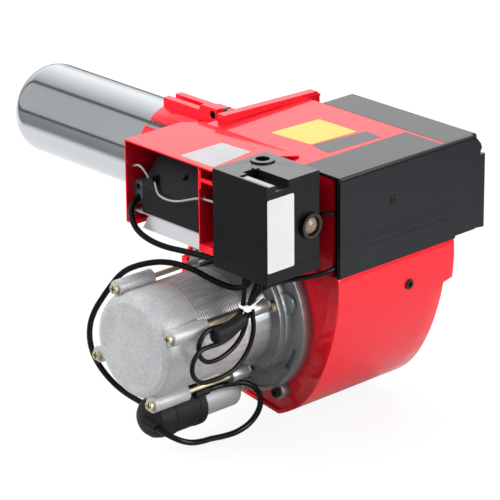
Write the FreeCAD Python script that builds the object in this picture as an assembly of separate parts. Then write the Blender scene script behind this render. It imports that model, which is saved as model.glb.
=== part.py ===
import FreeCAD, Part
import math
import os

# Diesel burner for a boiler: a stainless blast tube in a split collar, a red cast fan
# housing, an induction motor on its near side, and the ignition and control boxes above it.
# Millimetres. X runs along the blast tube (flame end at -X), Z up, the motor at -Y.
# The origin is on the tube's axis in the collar's front face.

V = FreeCAD.Vector
os.makedirs("parts", exist_ok=True)

# Driving sizes: where the main groups stand
ax, az = 186.0, -110.0   # axis of motor, fan and pump, along Y
body_x0 = 98.0         # the body's front wall
neck_len = 98.0        # collar and neck, from the collar's front face to the body
front = body_x0 - neck_len
body_x1 = ax + 76      # rear end of the red top plate
rear_x = ax + 132      # rear face of the black cover

# Driving sizes: tube and combustion head
tube_r = 51.0          # outside radius of the blast tube
tube_wall = 2.0
tube_out = 218.0       # length in front of the collar
tube_in = 58.0         # length held in the collar
nose_len, nose_in = 20.0, 13.0   # the flame end is drawn in over this length
seat_step = 0.6        # the held end is turned down by this much
head_back = 52.0       # diffuser disc behind the tube's mouth
disc_r = 40.0
oil_r = 6.0            # nozzle holder's tube
nozzle_hex = 8.0
electrode_r = 3.5
electrode_y = 13.0
electrode_z = 16.0

# Driving sizes: collar
collar_x0 = 1.0        # front face, just behind the tube's shoulder
collar_len = 62.0
collar_r = 55.0
slot_turn, slot_w = 41.0, 9.5    # slots beside the ribs let the collar flex
neck_r, neck_bore = 54.0, 47.0
flange_t = 6.0
flange_y1 = 62.0
rib_y0, rib_y1 = 4.5, 13.0
rib_top = 63.5
slit_w = 5.0
boss_x0, boss_x1, boss_top = 62.0, 86.0, 70.0
clamp_x, clamp_z, clamp_r = 80.0, 62.5, 3.0
flange_fix = [(-49, -36), (-49, 52), (54, -36), (54, 52)]   # y, z of the flange screws

# Driving sizes: cast body
wall = 4.0
near_y = -57.0         # wall on the motor's side
far_y = 96.0           # upper box, far wall
low_y = 95.5           # fan housing, far wall
tab_y, tab_z = 108.0, -87.0   # lug on the housing's rear far edge
split_y = 54.0         # wall between the fan's pressure side and its inlet side
top_z = 63.5
floor_z = -44.0
lip_x0, lip_t, lip_top, lip_fall = body_x0 + 3, 10.0, 72.0, 4.0
lip_y0, lip_y1 = -25.0, 114.0
rim_h, rim_t = 3.0, 4.0
wall_screw_y, wall_screw_z = 42.3, -76.5
web_t = 3.6

# Driving sizes: motor and fan, all on one axis along Y
cap_y0, cap_y1 = -222.0, -173.0
stator_y1 = -113.0
shield_y1 = -74.0
motor_r = 56.0
plate_r, plate_t = 90.0, 8.0
rod_pcd_r, rod_r, rod_turn = motor_r + 5.75, 2.6, 24.5
rod_end_y = -86.2
bolt_turn = 70.0
ear_turn, ear_r = 147.5, plate_r + 4.6  # the plate's two ears
tower_r = 8.5
fan_hole_r = 80.0
shaft_r = 7.0
shaft_gap = 0.04
fan_r, fan_w, fan_y0 = 74.0, 78.0, -34.0
blades = 30
inlet_r = 50.0
pump_spigot_r = 27.0
pipe_x, pipe_z, pipe_r = ax + 56, az + 30, 2.0    # oil pipe's line
bearing_r, bearing_w = 16.0, 10.0

# Driving sizes: boxes above the motor
ctl_x0, ctl_x1 = ax + 43, ax + 121
ctl_y0, ctl_y1 = -148.0, -75.0
ctl_z0, ctl_z1 = az + plate_r - 10, 75.0
gland_x, gland_y, gland_r = ctl_x0 + 17.5, -96.0, 10.5
btn_y, btn_z, btn_r, btn_ring = -89.6, 20.4, 9.4, 13.2
cowl_x0, cowl_x1, cowl_x2 = body_x0 - 3, ctl_x0 - 20, ctl_x0 - 1
cowl_z0, cowl_z1 = az + plate_r + 2, 72.0
sheet = 1.5
ht_x = (cowl_x0 + 43, cowl_x0 + 75)
post_x, post_z, post_r = cowl_x0 + 31, 33.0, 4.2    # terminal on the transformer's front
lead_r, lead_z = 1.2, 36.5      # thin lead, and where it leaves the cowl

# Driving sizes: rear cover and air box
arm_x0, arm_y0, arm_y1 = 134.0, 96.3, 144.4
shell = 2.5
cover_y1 = 153.0
cover_y, cover_z = 15.6, 22.5     # the cover's screw
flap_x, flap_z, flap_half, flap_t = ax - 4, 10.0, 46.0, 2.0
port_x0, port_x1, port_z0, port_z1 = ax + 14, ax + 70, -34.0, 54.0
flap_pin = 3.0

# Driving sizes: capacitor and cables
can_r, boot_r = 17.5, 22.5
capx, capz = ax + 1, az - motor_r - boot_r - 6.5
boot_y0, boot_y1, can_y1 = -209.0, -141.0, -88.0
cord_r = 3.1
hank_r = 2.5
cell_r = 2.2
gap = 0.3              # seat left between curved faces of different pieces


def box(x0, x1, y0, y1, z0, z1):
    return Part.makeBox(x1 - x0, y1 - y0, z1 - z0, V(x0, y0, z0))


def cyl(p, d, r, h):
    return Part.makeCylinder(r, h, V(*p), V(*d))


def cyl_y(x, z, r, y0, y1):
    return cyl((x, y0, z), (0, 1, 0), r, y1 - y0)


def cyl_x(y, z, r, x0, x1):
    return cyl((x0, y, z), (1, 0, 0), r, x1 - x0)


def ring_y(x, z, r1, r0, y0, y1):
    return cyl_y(x, z, r1, y0, y1).cut(cyl_y(x, z, r0, y0 - 1, y1 + 1))


def fuse(*s):
    out = s[0].multiFuse(list(s[1:])) if len(s) > 1 else s[0]
    return out.removeSplitter()


def cut(a, *s):
    return a.cut(list(s)).removeSplitter()


def prism(pts, d, h):
    face = Part.Face(Part.makePolygon([V(*p) for p in pts + pts[:1]]))
    return face.extrude(V(*d) * h)


def spin(pts, p, d):
    """Turn a closed (radius, length) outline about the line through p along d."""
    face = Part.Face(Part.makePolygon([V(r, 0, h) for r, h in pts + pts[:1]]))
    s = face.revolve(V(0, 0, 0), V(0, 0, 1), 360)
    s.Placement = FreeCAD.Placement(V(*p), FreeCAD.Rotation(V(0, 0, 1), V(*d)))
    return s


def on_motor(turn, r):
    a = math.radians(turn)
    return ax + r * math.sin(a), az + r * math.cos(a)


def soften(s, r, pick):
    """Round the edges that pick chooses."""
    e = [k for k in s.Edges if pick(k)]
    return s.makeFillet(r, e) if e else s


def along(k, axis, tol=1e-6):
    if k.Curve.TypeId != "Part::GeomLine":
        return False
    d = k.Vertexes[1].Point - k.Vertexes[0].Point
    d.normalize()
    return abs(abs(d.dot(axis)) - 1) < tol


def save(name, s):
    s.exportStep("parts/%s.step" % name)
    print(name, round(s.Volume), "solids", len(s.Solids), "valid", s.isValid())


def route(pts):
    """Straight runs joined by tangent arcs, as one wire; also the smallest arc radius."""
    p = [V(*q) for q in pts]
    edges, here, least = [], p[0], 1e9
    for i in range(1, len(p) - 1):
        a, b = p[i] - p[i - 1], p[i + 1] - p[i]
        turn = a.getAngle(b)
        cutb = 0.45 * min(a.Length, b.Length)
        least = min(least, cutb / math.tan(turn / 2))
        s = p[i] - a * (cutb / a.Length)
        e = p[i] + b * (cutb / b.Length)
        mid = (s + e) * 0.5
        r = cutb / math.tan(turn / 2)
        c = p[i] + (mid - p[i]) * (math.hypot(r, cutb) / (mid - p[i]).Length)
        m = c + (p[i] - c) * (r / (p[i] - c).Length)
        edges.append(Part.LineSegment(here, s).toShape())
        edges.append(Part.Arc(s, m, e).toShape())
        here = e
    edges.append(Part.LineSegment(here, p[-1]).toShape())
    return Part.Wire(edges), least


def cord(name, pts, r):
    wire, least = route(pts)
    d = V(*pts[1]) - V(*pts[0])
    disc = Part.Wire(Part.makeCircle(r, V(*pts[0]), d))
    s = wire.makePipeShell([disc], True, False)
    print(name, "length", round(wire.Length), "least radius", round(least, 1),
          "volume ratio", round(s.Volume / (math.pi * r * r * wire.Length), 3))
    return s


# Outline of the fan housing in the XZ plane: a scroll with a flat foot
scroll_rear = [(rear_x, floor_z)] + [(ax + x, az + z) for x, z in (
    (130.6, 25), (121.4, -12), (112.1, -36.5), (95, -68), (79, -87), (61, -100.5), (43.2, -109.5))]
scroll_front = [(ax + x, az + z) for x, z in (
    (-21, -101), (-48, -93), (-74, -78), (-91, -55), (-99, -25), (-102, 2), (-100, 25))]
scroll_front += [(body_x0 + 0.5, floor_z - 13.5)]


def scroll(inset, y0, y1):
    """The scroll's outline moved in towards the motor's axis and drawn out along Y."""
    def moved(pts):
        out = []
        for x, z in pts:
            d = math.hypot(x - ax, z - az)
            out.append(V(x - inset * (x - ax) / d, y0, z - inset * (z - az) / d))
        return out

    rear, lead = moved(scroll_rear), moved(scroll_front)
    rear[0] = V(rear[0].x, y0, floor_z)
    curves = [Part.BSplineCurve(), Part.BSplineCurve()]
    for curve, q in zip(curves, (rear, lead)):
        curve.interpolate(q)
    foot = Part.LineSegment(rear[-1], lead[0]).toShape()
    up = Part.LineSegment(lead[-1], V(lead[-1].x, y0, floor_z)).toShape()
    top = Part.LineSegment(V(lead[-1].x, y0, floor_z), rear[0]).toShape()
    w = Part.Wire([curves[0].toShape(), foot, curves[1].toShape(), up, top])
    return Part.Face(w).extrude(V(0, y1 - y0, 0))


def scroll_at(z):
    """Point and outward normal of the scroll's rear wall at height z."""
    curve = Part.BSplineCurve()
    curve.interpolate([V(x, 0, q) for x, q in scroll_rear])
    lo, hi = curve.FirstParameter, curve.LastParameter
    for _ in range(50):
        mid = (lo + hi) / 2
        lo, hi = (mid, hi) if curve.value(mid).z > z else (lo, mid)
    p, t = curve.value(lo), curve.tangent(lo)[0]
    return (p.x, p.z), (-t.z, t.x)


# Combustion head
def blast_tube():
    """Rolled tube, its flame end drawn in and its seat in the collar turned down."""
    r, seat, n = tube_r, tube_r - seat_step, tube_r - tube_wall

    def curl(top):
        turns = [math.radians(15 * k) for k in range(7)]
        c = Part.BSplineCurve()
        c.interpolate([V(top - nose_in * (1 - math.sin(a)), 0, nose_len * (1 - math.cos(a))) for a in turns])
        return c.toShape()

    end = tube_out + tube_in
    back = Part.makePolygon([V(r, 0, nose_len), V(r, 0, tube_out), V(seat, 0, tube_out), V(seat, 0, end),
                             V(n, 0, end), V(n, 0, nose_len)])
    mouth = Part.LineSegment(V(n - nose_in, 0, 0), V(r - nose_in, 0, 0)).toShape()
    face = Part.Face(Part.Wire(Part.__sortEdges__([curl(r), curl(n), mouth] + back.Edges)))
    s = face.revolve(V(0, 0, 0), V(0, 0, 1), 360)
    s.Placement = FreeCAD.Placement(V(front - tube_out, 0, 0), FreeCAD.Rotation(V(0, 0, 1), V(1, 0, 0)))
    return s


def diffuser_disc():
    x0 = front - tube_out + head_back
    s = fuse(cyl_x(0, 0, disc_r, x0, x0 + 2),
             cyl_x(0, 0, disc_r, x0, x0 + 9).cut(cyl_x(0, 0, disc_r - 1.5, x0 - 1, x0 + 10)),
             cyl_x(0, 0, 11, x0, x0 + 17))
    holes = [cyl_x(0, 0, 9.2, x0 - 1, x0 + 18)]
    for k in range(8):
        slot = box(x0 - 1, x0 + 3, -1.6, 1.6, 18, 34)
        slot.rotate(V(0, 0, 0), V(1, 0, 0), 45 * k + 22.5)
        holes.append(slot)
    for s_ in (-1, 1):
        holes.append(cyl_x(s_ * electrode_y, electrode_z, electrode_r + 0.6, x0 - 1, x0 + 3))
    return cut(s, *holes)


def spray_nozzle():
    x0 = front - tube_out + head_back - 4
    hexa = prism([(x0 + 8, nozzle_hex * math.cos(math.radians(60 * k)),
                   nozzle_hex * math.sin(math.radians(60 * k))) for k in range(6)], (1, 0, 0), 9)
    tip = spin([(0.6, 0), (3, 0), (6.4, 5), (6.4, 8), (0.6, 8)], (x0, 0, 0), (1, 0, 0))
    return fuse(tip, cut(hexa, cyl_x(0, 0, 0.6, x0, x0 + 20)))


def nozzle_holder():
    x0 = front - tube_out + head_back + 13
    s = fuse(cyl_x(0, 0, 9.2 - gap, x0, x0 + 22), cyl_x(0, 0, oil_r, x0 + 22, pipe_x - 8),
             soften(box(pipe_x - 10, pipe_x + 10, -9, 9, -9, 9), 2, lambda k: along(k, V(1, 0, 0))))
    return cut(s, cyl_x(0, 0, 2, x0 - 1, x0 + 20), cyl((pipe_x, 10, 0), (0, -1, 0), pipe_r + 0.2, 7))


def head_spider():
    """Three-armed support that centres the nozzle holder in the neck."""
    x0, x1 = body_x0 - 34, body_x0 - 30
    rim = cyl_x(0, 0, neck_bore - gap, x0, x1).cut(cyl_x(0, 0, neck_bore - 4, x0 - 1, x1 + 1))
    s = fuse(cyl_x(0, 0, 22, x0, x1), rim)
    for k in range(3):
        arm = box(x0, x1, -5, 5, 0, neck_bore - 2)
        arm.rotate(V(0, 0, 0), V(1, 0, 0), 60 + 120 * k)
        s = s.fuse(arm)
    holes = [cyl_x(0, 0, oil_r + gap, x0 - 1, x1 + 1)]
    for q in (-1, 1):
        holes.append(cyl_x(q * electrode_y, electrode_z, electrode_r + gap, x0 - 1, x1 + 1))
    return cut(s.removeSplitter(), *holes)


def electrode(side):
    """Ceramic stem with a bent wire tip in front of the diffuser."""
    x0 = front - tube_out + head_back - 2
    y, z = side * electrode_y, electrode_z
    stem = fuse(cyl_x(y, z, electrode_r, x0 + 2.5, body_x0 + 2),
                cyl_x(y, z, electrode_r + 1.2, body_x0 - 18, body_x0 + 2))
    wire = cyl_x(y, z, 1.1, x0 - 8, x0 + 3)
    tip = cyl((x0 - 8, y, z), (-6, -side * (electrode_y - 2.5), -7), 1.1, 13.5)
    ball = Part.makeSphere(1.1, V(x0 - 8, y, z))
    return fuse(stem, wire, ball, tip)


# Cast body
def collar():
    """Split collar, neck and flange in one casting, ribs along both sides of the slit."""
    x0, x1 = front + collar_x0, front + collar_len
    b0, b1 = front + boss_x0, front + boss_x1
    s = fuse(cyl_x(0, 0, collar_r, x0, x1), cyl_x(0, 0, neck_r, x1 - 1, body_x0),
             box(body_x0 - flange_t, body_x0, near_y + 1, flange_y1, floor_z + 1, top_z - 3.5))
    for y0, y1, top in ((-rib_y1, -rib_y0, boss_top), (rib_y0, rib_y1, rib_top + 1.5)):
        s = s.fuse(box(x0, b1 - 10, y0, y1, collar_r - 9, rib_top))
        s = s.fuse(prism([(b0 - 5, y0, rib_top - 1), (b0, y0, top), (b1, y0, top), (b1, y0, neck_r - 5),
                          (b0 - 5, y0, neck_r - 5)], (0, 1, 0), y1 - y0))
    bore = fuse(cyl_x(0, 0, tube_r - seat_step + gap, x0 - 1, front + tube_in + 0.5),
                cyl_x(0, 0, neck_bore, front, body_x0 + 1))
    slit = box(x0 - 1, x1 + 24, -slit_w / 2, slit_w / 2, 40, boss_top + 1)
    holes = [bore, slit, cyl_y(front + clamp_x, clamp_z, clamp_r + gap, -20, 20),
             cyl_y(front + clamp_x, clamp_z, 4.6, -rib_y1 - 1, -rib_y1 + 4)]
    for turn in (slot_turn, -slot_turn):
        slot = box(x0 - 1, front + tube_in - 12, -slot_w / 2, slot_w / 2, tube_r - 6, collar_r + 5)
        slot.rotate(V(0, 0, 0), V(1, 0, 0), turn)
        holes.append(slot)
    for y, z in flange_fix:
        holes.append(cyl_x(y, z, 3.2, body_x0 - flange_t - 1, body_x0 + 1))
    return cut(s, *holes)


def clamp_screw():
    x, z = front + clamp_x, clamp_z
    return fuse(cyl_y(x, z, clamp_r, -rib_y1 + 2, rib_y1 - 0.5),
                cut(cyl_y(x, z, 4.3, -rib_y1 + 0.4, -rib_y1 + 4 - gap),
                    cyl_y(x, z, 2.4, -rib_y1 - 1, -rib_y1 + 2)))


def collar_screws():
    out, x = [], body_x0 - flange_t
    for y, z in flange_fix:
        out.append(fuse(cyl_x(y, z, 3.0, x - 1, body_x0 + 3.5), cyl_x(y, z, 5.5, x - 5, x)))
    return Part.makeCompound(out)


def body():
    """Upper box, scroll with two chambers, front lip and the web beside the rear cover."""
    upper = box(body_x0, body_x1, near_y, far_y - 0.5, floor_z, top_z)
    low = scroll(0, near_y, low_y)
    s = upper.fuse(low)
    rim = scroll(0, near_y - rim_h, near_y + 1).cut(scroll(rim_t, near_y - rim_h - 1, near_y + 2))
    s = s.fuse(rim)
    low = lip_top - lip_fall
    bar = prism([(lip_x0, lip_y0, 36), (lip_x0, lip_y0, lip_top), (lip_x0, lip_y1 - 4, low),
                 (lip_x0, lip_y1, low - 4), (lip_x0, lip_y1, 36)], (1, 0, 0), lip_t)
    x = lip_x0 + lip_t
    ridge = prism([(x, lip_y0, top_z + 2.5), (x, lip_y0, top_z + 5), (x, lip_y1, top_z + 1.5),
                   (x, lip_y1, top_z - 1)], (1, 0, 0), 1.2)
    s = s.fuse([bar, ridge])
    lug = scroll(0, low_y - 1, tab_y).cut(scroll(wall, low_y - 2, tab_y + 1))
    s = s.fuse(lug.common(prism([(rear_x - 30, low_y - 1, floor_z), (rear_x - 30, low_y - 1, tab_z - 3),
                                 (rear_x - 30, tab_y, tab_z), (rear_x - 30, tab_y, floor_z)], (1, 0, 0), 40)))
    s = s.fuse(box(body_x1 - 1, rear_x - 4, far_y - 0.5 - web_t, far_y - 0.5, floor_z, top_z))
    s = s.fuse(box(body_x1 - 1, rear_x - 13, near_y + 1.5, near_y + 1.5 + wall, floor_z - 1, top_z - 6))
    s = s.fuse(box(body_x1 - 1, rear_x - 18, near_y + 2, far_y - 1, top_z - 8, top_z - 5))
    air = [box(body_x0 + wall, rear_x - wall, near_y + wall + 1.5, split_y, floor_z - 6, top_z - wall - 4.2),
           scroll(wall, near_y + wall, split_y),
           box(body_x0 + wall, body_x1 - wall, split_y + wall, far_y - 0.5 - wall,
               floor_z - 6, top_z - wall),
           scroll(wall, split_y + wall, low_y - wall),
           cyl_x(0, 0, neck_bore, body_x0 - 1, body_x0 + wall + 1),
           cyl_y(ax, az, fan_hole_r, near_y - 1, near_y + wall + 1),
           cyl_y(ax, az, inlet_r, split_y - 1, split_y + wall + 1),
           cyl_y(ax, az, pump_spigot_r, low_y - wall - 1, low_y + 1),
           box(port_x0, port_x1, far_y - 0.5 - wall - 1, far_y + 1, port_z0, port_z1),
           cyl_y(pipe_x, -4, 9, split_y - 1, split_y + wall + 1),
           cyl_y(pipe_x, pipe_z, 4.5, low_y - wall - 1, low_y + 1)]
    s = s.cut(air)
    holes = []
    for y, z in flange_fix:
        holes.append(cyl_x(y, z, 3.2, body_x0 - 1, body_x0 + wall + 1))
    for k in range(2):
        x, z = on_motor(ear_turn + 180 * k, ear_r)
        holes.append(cyl_y(x, z, 2.6, near_y - 1, near_y + 3.5))
    for x in (cowl_x0 + 22, cowl_x1 - 22):
        holes.append(cyl_y(x, cowl_z0 + 24, 2.3, near_y - 1, near_y + 3))
    (x, z), (nx, nz) = scroll_at(wall_screw_z)
    top = (x + nx * 2, wall_screw_y, z + nz * 2)
    holes += [cyl(top, (-nx, 0, -nz), 2.6, 5.7), cyl(top, (-nx, 0, -nz), 5.6, 4)]
    s = s.cut(holes)
    bell = ring_y(ax, az, inlet_r + 5, inlet_r, split_y - 8, split_y + 1)
    post = box(ax - 98, ax - 90, near_y - 10, near_y + 1, az + 10, az + 30)
    return s.fuse([bell, post]).removeSplitter()


def wall_screw():
    """Socket screw in the scroll's rear wall, square to it, its head let into the wall."""
    (x, z), (nx, nz) = scroll_at(wall_screw_z)
    d = (nx, 0, nz)
    p = [(x + nx * t, wall_screw_y, z + nz * t) for t in (-3.5, -2 + gap, -0.4)]
    return cut(fuse(cyl(p[0], d, 2.5, 4), cyl(p[1], d, 5.2, 3.2)), cyl(p[2], d, 2.6, 3))


# Motor
def motor_cap():
    """Cast end cap: domed face, four ears drawn back into tie-rod towers."""
    r = motor_r
    s = spin([(0, 0), (r - 9, 0), (r - 3, 2), (r, 7), (r, cap_y1 - cap_y0), (0, cap_y1 - cap_y0)],
             (ax, cap_y0, az), (0, 1, 0))
    for k in range(4):
        x, z = on_motor(90 * k - rod_turn, rod_pcd_r)
        s = s.fuse(cyl_y(x, z, tower_r, cap_y0 + 3, cap_y1))
    s = s.cut(cyl_y(ax, az, r - 4, cap_y0 + 5, cap_y1 + 1))
    hub = cyl_y(ax, az, bearing_r + 4, cap_y0 + 4, cap_y0 + 5 + bearing_w + 2)
    s = s.fuse(hub)
    holes = [cyl_y(ax, az, bearing_r, cap_y0 + 6, cap_y0 + 40)]
    for k in range(4):
        x, z = on_motor(90 * k - rod_turn, rod_pcd_r)
        holes.append(cyl_y(x, z, rod_r + 0.2, cap_y0 - 1, cap_y1 + 1))
    return s.cut(holes).removeSplitter()


def stator():
    """Laminated core: fine grooves where the sheets show, notches for the tie rods."""
    y0, y1 = cap_y1, stator_y1
    s = cyl_y(ax, az, motor_r, y0, y1)
    n = 20
    groove = [ring_y(ax, az, motor_r + 2, motor_r - 0.7, y0 + (k + 0.6) * (y1 - y0) / n,
                     y0 + (k + 0.6) * (y1 - y0) / n + 0.9) for k in range(n)]
    smooth = box(0, motor_r + 9, y0, y1, -9, motor_r + 9)
    smooth.translate(V(ax, 0, az))
    smooth.rotate(V(ax, 0, az), V(0, 1, 0), 90 - rod_turn)
    cuts = [cyl_y(ax, az, 31, y0 - 1, y1 + 1)] + [g.cut(smooth) for g in groove]
    for k in range(4):
        x, z = on_motor(90 * k - rod_turn, rod_pcd_r)
        cuts.append(cyl_y(x, z, tower_r, y0 - 1, y1 + 1))
    return s.cut(cuts)


def shield():
    """Cast front shield: a cup with four ears and a spigot in the flange plate."""
    y0, y1 = stator_y1, shield_y1
    s = fuse(cyl_y(ax, az, motor_r - 1, y0, y1), cyl_y(ax, az, motor_r + 12, y1 - 6, y1))
    for k in range(4):
        x, z = on_motor(90 * k - rod_turn, rod_pcd_r)
        s = s.fuse(cyl_y(x, z, tower_r - 1, y0, y0 + 22))
    s = s.cut(cyl_y(ax, az, motor_r - 6, y0 - 1, y1 - 14))
    s = s.cut(cyl_y(ax, az, bearing_r, y1 - 15, y1 - 3))
    s = s.cut(cyl_y(ax, az, shaft_r + 2, y0, y1 + 1))
    holes = []
    for k in range(4):
        x, z = on_motor(90 * k - rod_turn, rod_pcd_r)
        holes.append(cyl_y(x, z, rod_r + 0.2, y0 - 1, y0 + 40))
    for k in range(3):
        x, z = on_motor(bolt_turn + 120 * k, motor_r + 6)
        holes.append(cyl_y(x, z, 3.2, y1 - 8, y1 + 1))
    return s.cut(holes).removeSplitter()


def tie_rods():
    out = []
    for k in range(4):
        x, z = on_motor(90 * k - rod_turn, rod_pcd_r)
        head = cut(cyl_y(x, z, 5, cap_y0 - 1.5, cap_y0 + 3 - gap),
                   box(x - 3.6, x + 3.6, cap_y0 - 2, cap_y0 - 0.4, z - 0.6, z + 0.6),
                   box(x - 0.6, x + 0.6, cap_y0 - 2, cap_y0 - 0.4, z - 3.6, z + 3.6))
        nut = prism([(x + 5 * math.cos(math.radians(60 * j)), stator_y1 + 22 + gap,
                      z + 5 * math.sin(math.radians(60 * j))) for j in range(6)], (0, 1, 0), 4)
        out.append(fuse(head, cyl_y(x, z, rod_r, cap_y0 - 0.5, rod_end_y), nut))
    return Part.makeCompound(out)


def flange_plate():
    """Round plate that closes the fan's hole, with three bolt lugs, two ears and clamp slots."""
    y0 = shield_y1
    s = fuse(cyl_y(ax, az, plate_r, near_y - plate_t, near_y),
             ring_y(ax, az, plate_r, plate_r - 4, near_y - plate_t - 3, near_y),
             cyl_y(ax, az, motor_r + 14, y0, near_y),
             cyl_y(ax, az, fan_hole_r - 0.4, near_y - 1, near_y + wall),
             cyl_y(capx, capz, 8, near_y - plate_t - 8, near_y))
    for k in range(3):
        x, z = on_motor(bolt_turn + 120 * k, motor_r + 14)
        s = s.fuse(cyl_y(x, z, 11, y0 + 4, near_y))
    for k in range(2):
        x, z = on_motor(ear_turn + 180 * k, ear_r)
        s = s.fuse(cyl_y(x, z, 8, near_y - plate_t - 3, near_y))
    web = box(capx - 8, capx + 8, near_y - plate_t, near_y, capz, az - fan_hole_r + 5)
    s = s.fuse(web)
    cuts = [cyl_y(ax, az, shaft_r + 2, y0 - 1, near_y + wall + 1),
            cyl_y(ax, az, 40, near_y - 4, near_y + wall + 1),
            cyl_y(capx, capz, 4.1, near_y - plate_t - 9, near_y - 3)]
    for k in range(2):
        x, z = on_motor(ear_turn + 180 * k, ear_r)
        cuts.append(cyl_y(x, z, 2.8, near_y - plate_t - 4, near_y + 1))
    for k in range(3):
        x, z = on_motor(bolt_turn + 120 * k, motor_r + 6)
        cuts.append(cyl_y(x, z, 2.6, y0 - 1, y0 + 9))
        slot = ring_y(ax, az, plate_r - 8, plate_r - 14, near_y - plate_t - 4, near_y - 3)
        wedge = box(ax, ax + 120, near_y - 20, near_y + 5, az - 14, az + 14)
        wedge.rotate(V(ax, 0, az), V(0, 1, 0), 120 * k + 30)
        cuts.append(slot.common(wedge))
    return s.cut(cuts).removeSplitter()


def plate_bolts():
    out = []
    for k in range(2):
        x, z = on_motor(ear_turn + 180 * k, ear_r)
        y = near_y - plate_t - 3
        out.append(cut(fuse(cyl_y(x, z, 5.0, y - 5, y), cyl_y(x, z, 2.5, y - 1, near_y + 3)),
                       cyl_y(x, z, 2.3, y - 6, y - 2)))
    return Part.makeCompound(out)


def motor_bolts():
    out = []
    for k in range(3):
        x, z = on_motor(bolt_turn + 120 * k, motor_r + 6)
        y = shield_y1 - 6
        out.append(cut(fuse(cyl_y(x, z, 4.8, y - 5, y), cyl_y(x, z, 2.5, y - 1, shield_y1 + 7)),
                       cyl_y(x, z, 2.2, y - 6, y - 2)))
    return Part.makeCompound(out)


def bearing(y0):
    return cut(cyl_y(ax, az, bearing_r, y0, y0 + bearing_w),
               cyl_y(ax, az, shaft_r + shaft_gap, y0 - 1, y0 + bearing_w + 1))


def rotor_shaft():
    s = fuse(cyl_y(ax, az, shaft_r, cap_y0 + 8, 46), cyl_y(ax, az, 29.5, cap_y1 + 2, stator_y1 - 2))
    return cut(s, box(ax - 10, ax + 10, 30, 50, az + shaft_r - 1.5, az + 20))


def fan_wheel():
    """Forward-curved blades between a solid back disc and an open rim ring."""
    y0, y1 = fan_y0, fan_y0 + fan_w
    s = [cyl_y(ax, az, fan_r, y0, y0 + 2), ring_y(ax, az, fan_r, fan_r - 9, y1 - 2, y1),
         cyl_y(ax, az, 15, y0, y0 + 30)]
    for k in range(blades):
        b = box(ax - 0.7, ax + 0.7, y0 + 1, y1 - 1, az + fan_r - 12.5, az + fan_r - 1)
        b.rotate(V(ax, 0, az + fan_r - 6), V(0, 1, 0), 28)
        b.rotate(V(ax, 0, az), V(0, 1, 0), 360.0 * k / blades)
        s.append(b)
    out = fuse(*s)
    return out.cut([cyl_y(ax, az, shaft_r, y0 - 1, y0 + 31)])


def coupling():
    s = cyl_y(ax, az, 11, 30, low_y - wall - 1.5)
    ends = [cyl_y(ax, az, shaft_r, 29, 46.5).cut(box(ax - 10, ax + 10, 28, 50, az + shaft_r - 1.5, az + 20)),
            cyl_y(ax, az, 4, 80, 95)]
    for k in range(6):
        g = cyl_y(*on_motor(60 * k, 12), 2.2, 48, 78)
        ends.append(g)
    return s.cut(ends)


def pump_shaft():
    return cyl_y(ax, az, 4, 80, low_y + 8)


# Oil side
def pump():
    y0 = low_y
    s = fuse(soften(box(ax - 38, ax + 38, y0, y0 + 34, az - 34, az + 34), 7,
                    lambda k: along(k, V(0, 1, 0))),
             cyl_y(ax, az, pump_spigot_r - 0.05, low_y - wall, y0 + 2),
             cyl_y(ax - 8, az - 6, 26, y0 + 33, y0 + 42))
    for k in range(4):
        a = math.radians(45 + 90 * k)
        s = s.fuse(cyl_y(ax - 8 + 21 * math.cos(a), az - 6 + 21 * math.sin(a), 3.2, y0 + 41, y0 + 44))
    cuts = [cyl_y(ax, az, 4 + shaft_gap, low_y - wall - 1, low_y + 9),
            cyl((ax - 39, y0 + 16, az + 14), (1, 0, 0), 5, 10),
            cyl((ax - 39, y0 + 16, az - 14), (1, 0, 0), 5, 10)]
    return s.cut(cuts).removeSplitter()


def oil_nipples():
    out = []
    for z in (az + 14, az - 14):
        x = ax - 38
        hexa = prism([(x - 6 - gap, low_y + 16 + 8 * math.cos(math.radians(60 * k)),
                       z + 8 * math.sin(math.radians(60 * k))) for k in range(6)], (1, 0, 0), 6)
        tubes = fuse(hexa, cyl_x(low_y + 16, z, 4.7, x - 18, x + 8))
        out.append(cut(tubes, cyl_x(low_y + 16, z, 3, x - 19, x + 9)))
    return Part.makeCompound(out)


def solenoid():
    """Shut-off valve's coil on the end of the nozzle holder's block."""
    x0, x1 = pipe_x + 10 + gap, pipe_x + 32
    return fuse(soften(box(x0, x1, -13, 13, -13, 13), 3, lambda k: along(k, V(1, 0, 0))),
                cyl_x(0, 0, 5, x1 - 1, x1 + 7))


def oil_pipe():
    y0, y1 = low_y - wall + 1, split_y + 22
    pts = [(pipe_x, y0, pipe_z), (pipe_x, y1, pipe_z), (pipe_x, y1, 0), (pipe_x, 5, 0)]
    return cord("oil_pipe", pts, pipe_r)


def oil_elbow():
    """Block that brings the pump's pressure port through the wall to the pipe."""
    s = fuse(cyl_y(pipe_x, pipe_z, 4.2, low_y - wall - 4, low_y + 5),
             box(ax + 38, pipe_x + 8, low_y + 2, low_y + 14, pipe_z - 8, pipe_z + 8))
    return cut(s, cyl_y(pipe_x, pipe_z, pipe_r + 0.02, low_y - wall - 7, low_y - wall + 2))


def photocell():
    x, y, z = body_x1, near_y + 19, -14
    return fuse(cyl_x(y, z, 7, x - 12, x + 20), cyl_x(y, z, 9, x + 6, x + 10),
                box(x, x + 18, near_y + 1.5 + wall, y, z - 6, z + 6))


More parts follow.
